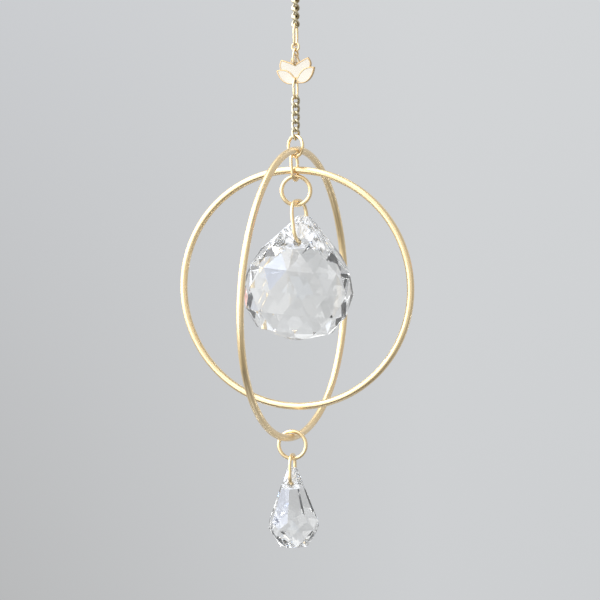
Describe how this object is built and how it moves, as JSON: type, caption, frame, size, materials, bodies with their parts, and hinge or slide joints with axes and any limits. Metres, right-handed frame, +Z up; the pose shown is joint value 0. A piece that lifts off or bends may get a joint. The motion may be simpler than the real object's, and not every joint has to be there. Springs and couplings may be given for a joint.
{
  "type": "crystal suncatcher",
  "caption": "Hanging suncatcher: crossed brass hoops round a faceted crystal ball with a crystal drop below, on a curb chain with a lotus charm.",
  "frame": {"origin": "inner top of the hanging ring, where the hook or nail that carries the suncatcher lies", "axes": "+Z up, with everything hanging down from the origin; +X to the viewer's right; the front faces -Y"},
  "size_m": [0.0627, 0.0737, 0.225],
  "materials": {
    "brass_wire": "pale gold-coloured drawn wire and stamped charm, satin with soft highlights",
    "silvery_chain": "fine curb chain, plated a paler and more silvery gold than the rings, bright",
    "crystal": "clear machine-cut crystal, polished flat facets"
  },
  "bodies": {
    "root": {"hanging_ring": "brass_wire", "chain_top_ring": "brass_wire", "upper_chain_link_01": "silvery_chain", "upper_chain_link_02": "silvery_chain", "upper_chain_link_03": "silvery_chain", "upper_chain_link_04": "silvery_chain", "upper_chain_link_05": "silvery_chain", "upper_chain_link_06": "silvery_chain", "upper_chain_link_07": "silvery_chain", "upper_chain_link_08": "silvery_chain", "upper_chain_link_09": "silvery_chain", "upper_chain_link_10": "silvery_chain", "upper_chain_link_11": "silvery_chain", "upper_chain_link_12": "silvery_chain", "upper_chain_link_13": "silvery_chain", "upper_chain_link_14": "silvery_chain", "upper_chain_link_15": "silvery_chain", "upper_chain_link_16": "silvery_chain", "upper_chain_link_17": "silvery_chain", "upper_chain_link_18": "silvery_chain", "upper_chain_link_19": "silvery_chain", "upper_chain_link_20": "silvery_chain", "upper_chain_link_21": "silvery_chain", "upper_chain_link_22": "silvery_chain", "upper_chain_link_23": "silvery_chain", "upper_chain_link_24": "silvery_chain", "upper_chain_link_25": "silvery_chain", "upper_chain_link_26": "silvery_chain", "upper_chain_link_27": "silvery_chain", "upper_chain_link_28": "silvery_chain", "upper_chain_link_29": "silvery_chain", "upper_chain_link_30": "silvery_chain", "upper_chain_link_31": "silvery_chain", "upper_chain_link_32": "silvery_chain", "long_link": "brass_wire", "small_ring": "brass_wire", "lotus_top_ring": "brass_wire", "lotus_charm": "brass_wire", "lotus_bottom_link": "brass_wire", "lower_chain_link_01": "silvery_chain", "lower_chain_link_02": "silvery_chain", "lower_chain_link_03": "silvery_chain", "lower_chain_link_04": "silvery_chain", "lower_chain_link_05": "silvery_chain", "top_ring": "brass_wire", "hoop_link": "brass_wire", "large_hoop": "brass_wire", "ball_ring": "brass_wire", "small_hoop": "brass_wire", "ball_bail": "brass_wire", "crystal_ball": "crystal", "drop_ring": "brass_wire", "drop_bail": "brass_wire", "crystal_drop": "crystal"}
  },
  "joints": []
}
